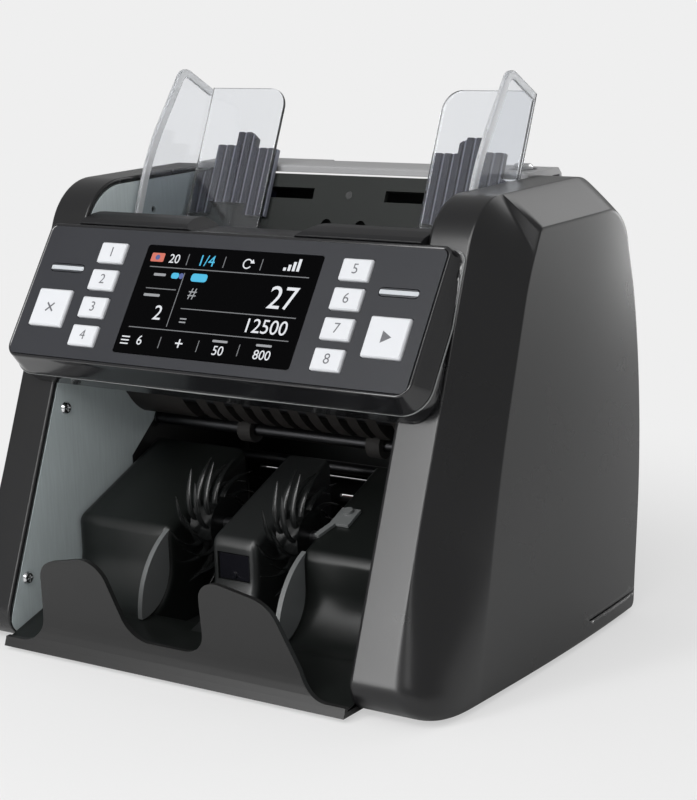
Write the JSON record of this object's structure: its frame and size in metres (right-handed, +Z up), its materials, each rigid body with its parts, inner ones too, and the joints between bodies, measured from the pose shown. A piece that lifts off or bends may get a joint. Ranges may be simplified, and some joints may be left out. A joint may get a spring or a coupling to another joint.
{
  "type": "banknote counting machine",
  "caption": "Banknote counting machine with a leaning hopper and clear sliding guides on top, a sloping key panel with display, and an open front stacker with two vaned wheels.",
  "frame": {"origin": "on the surface the machine stands on, under the middle of its width and depth", "axes": "+X to the machine's right as seen from the front, +Y to its back, +Z up"},
  "size_m": [0.2798, 0.212, 0.2597],
  "materials": {
    "black_plastic": "fine moulded grain",
    "rubber": "matt",
    "cover_plastic": "satin moulded shell",
    "plated_steel": "zinc-plated sheet",
    "bright_steel": "ground and plated",
    "gloss_black": "piano gloss",
    "slate_overlay": "printed film, satin",
    "window_glass": "polished window over the display",
    "module_metal": "plain",
    "light_guide": "translucent light guide",
    "circuit_board": "solder resist",
    "dark_plastic": "moulded, satin",
    "lid_plastic": "moulded, satin",
    "plate_plastic": "moulded, satin",
    "fin_plastic": "smoky polished edge",
    "sensor_window": "infra-red window",
    "sensor_plastic": "moulded",
    "roller_rubber": "ground rubber",
    "belt_rubber": "moulded",
    "supply_board": "phenolic board",
    "inlet_plastic": "moulded",
    "clear_guide": "clear polycarbonate",
    "navy_plastic": "moulded with ribs",
    "white_nylon": "moulded",
    "wheel_plastic": "moulded",
    "switch_red": "moulded",
    "key_plastic": "satin key tops"
  },
  "bodies": {
    "frame": {"base_tray": "black_plastic", "rubber_feet": "rubber", "left_side_cover": "cover_plastic", "right_side_cover": "cover_plastic", "left_side_frame": "plated_steel", "right_side_frame": "plated_steel", "tie_bars": "bright_steel", "frame_screws": "bright_steel", "panel_bezel": "gloss_black", "panel_overlay": "slate_overlay", "display_window": "window_glass", "display_module": "module_metal", "light_bars": "light_guide", "keypad_board": "circuit_board", "hopper": "gloss_black", "hopper_back_plate": "dark_plastic", "top_lid": "lid_plastic", "stacker_bed": "dark_plastic", "stacker_front_plate": "plate_plastic", "stacker_guide_fins": "fin_plastic", "sensor_window": "sensor_window", "stack_sensor_bracket": "fin_plastic", "exit_comb": "dark_plastic", "upper_sensor_bar": "sensor_plastic", "lower_sensor_bar": "sensor_plastic", "separation_rollers": "roller_rubber", "main_motor": "module_metal", "drive_belts": "belt_rubber", "stacker_motor": "module_metal", "main_board": "circuit_board", "power_supply": "supply_board", "rear_panel": "black_plastic", "power_inlet": "inlet_plastic"},
    "left_guide": {"left_guide": "clear_guide", "left_guide_carriage": "navy_plastic"},
    "right_guide": {"right_guide": "clear_guide", "right_guide_carriage": "navy_plastic"},
    "guide_pinion": {"guide_pinion": "white_nylon"},
    "pickup": {"pickup_shaft": "bright_steel", "pickup_rollers": "roller_rubber"},
    "feed": {"feed_shaft": "bright_steel", "feed_rollers": "roller_rubber"},
    "exit": {"exit_shaft": "bright_steel", "exit_rollers": "roller_rubber"},
    "stacker": {"stacker_shaft": "bright_steel", "stacker_wheels": "wheel_plastic"},
    "motor": {"motor_pulley": "white_nylon"},
    "power_switch": {"power_switch": "switch_red"},
    "rear_door": {"rear_door": "black_plastic"},
    "gap_knob": {"gap_knob": "bright_steel"},
    "key_left_1": {"key_left_1": "key_plastic"},
    "key_left_2": {"key_left_2": "key_plastic"},
    "key_left_3": {"key_left_3": "key_plastic"},
    "key_left_4": {"key_left_4": "key_plastic"},
    "key_right_1": {"key_right_1": "key_plastic"},
    "key_right_2": {"key_right_2": "key_plastic"},
    "key_right_3": {"key_right_3": "key_plastic"},
    "key_right_4": {"key_right_4": "key_plastic"},
    "key_left_large": {"key_left_large": "key_plastic"},
    "key_right_large": {"key_right_large": "key_plastic"}
  },
  "joints": [
    {"name": "left_guide_slide", "type": "slide", "parent": "frame", "child": "left_guide", "axis": [1, 0, 0], "range_m": [0, 0.024]},
    {"name": "right_guide_slide", "type": "slide", "parent": "frame", "child": "right_guide", "axis": [-1, 0, 0], "range_m": [0, 0.024]},
    {"name": "pinion_turn", "type": "hinge", "parent": "frame", "child": "guide_pinion", "pos_m": [0, 0.06638, 0.19744], "axis": [0, -0.9114, 0.4115], "range_deg": [0, 276.02]},
    {"name": "feed_turn", "type": "hinge", "parent": "frame", "child": "feed", "pos_m": [0, 0.044, 0.134], "axis": [1, 0, 0], "continuous": true},
    {"name": "pickup_turn", "type": "hinge", "parent": "frame", "child": "pickup", "pos_m": [0, 0.014, 0.149], "axis": [1, 0, 0], "continuous": true},
    {"name": "exit_turn", "type": "hinge", "parent": "frame", "child": "exit", "pos_m": [0, 0.024, 0.087], "axis": [1, 0, 0], "continuous": true},
    {"name": "stacker_turn", "type": "hinge", "parent": "frame", "child": "stacker", "pos_m": [0, -0.023, 0.053], "axis": [1, 0, 0], "continuous": true},
    {"name": "motor_turn", "type": "hinge", "parent": "frame", "child": "motor", "pos_m": [0.1, 0.072, 0.04], "axis": [1, 0, 0], "continuous": true},
    {"name": "switch_rock", "type": "hinge", "parent": "frame", "child": "power_switch", "pos_m": [-0.03, 0.09678, 0.026], "axis": [1, 0, 0], "range_deg": [-18, 0]},
    {"name": "door_hinge", "type": "hinge", "parent": "frame", "child": "rear_door", "pos_m": [0, 0.09957, 0.048], "axis": [-1, 0, 0], "range_deg": [0, 75]},
    {"name": "knob_turn", "type": "hinge", "parent": "frame", "child": "gap_knob", "pos_m": [0.084, 0.084, 0.212], "axis": [0, 0, 1], "range_deg": [-180, 180]},
    {"name": "key_left_1_press", "type": "slide", "parent": "frame", "child": "key_left_1", "axis": [0, 0.8251, -0.565], "range_m": [0, 0.0012], "stiffness_N_per_m": 400, "springref_m": -0.0003},
    {"name": "key_left_2_press", "type": "slide", "parent": "frame", "child": "key_left_2", "axis": [0, 0.8251, -0.565], "range_m": [0, 0.0012], "stiffness_N_per_m": 400, "springref_m": -0.0003},
    {"name": "key_left_3_press", "type": "slide", "parent": "frame", "child": "key_left_3", "axis": [0, 0.8251, -0.565], "range_m": [0, 0.0012], "stiffness_N_per_m": 400, "springref_m": -0.0003},
    {"name": "key_left_4_press", "type": "slide", "parent": "frame", "child": "key_left_4", "axis": [0, 0.8251, -0.565], "range_m": [0, 0.0012], "stiffness_N_per_m": 400, "springref_m": -0.0003},
    {"name": "key_right_1_press", "type": "slide", "parent": "frame", "child": "key_right_1", "axis": [0, 0.8251, -0.565], "range_m": [0, 0.0012], "stiffness_N_per_m": 400, "springref_m": -0.0003},
    {"name": "key_right_2_press", "type": "slide", "parent": "frame", "child": "key_right_2", "axis": [0, 0.8251, -0.565], "range_m": [0, 0.0012], "stiffness_N_per_m": 400, "springref_m": -0.0003},
    {"name": "key_right_3_press", "type": "slide", "parent": "frame", "child": "key_right_3", "axis": [0, 0.8251, -0.565], "range_m": [0, 0.0012], "stiffness_N_per_m": 400, "springref_m": -0.0003},
    {"name": "key_right_4_press", "type": "slide", "parent": "frame", "child": "key_right_4", "axis": [0, 0.8251, -0.565], "range_m": [0, 0.0012], "stiffness_N_per_m": 400, "springref_m": -0.0003},
    {"name": "key_left_large_press", "type": "slide", "parent": "frame", "child": "key_left_large", "axis": [0, 0.8251, -0.565], "range_m": [0, 0.0012], "stiffness_N_per_m": 400, "springref_m": -0.0003},
    {"name": "key_right_large_press", "type": "slide", "parent": "frame", "child": "key_right_large", "axis": [0, 0.8251, -0.565], "range_m": [0, 0.0012], "stiffness_N_per_m": 400, "springref_m": -0.0003}
  ],
  "couplings": [
    {"joint": "right_guide_slide", "follows": "left_guide_slide", "ratio": 1},
    {"joint": "pinion_turn", "follows": "left_guide_slide", "rad_per_m": 200},
    {"joint": "pickup_turn", "follows": "feed_turn", "ratio": 1.44},
    {"joint": "exit_turn", "follows": "feed_turn", "ratio": 1.2857},
    {"joint": "motor_turn", "follows": "feed_turn", "ratio": 1.8333}
  ]
}
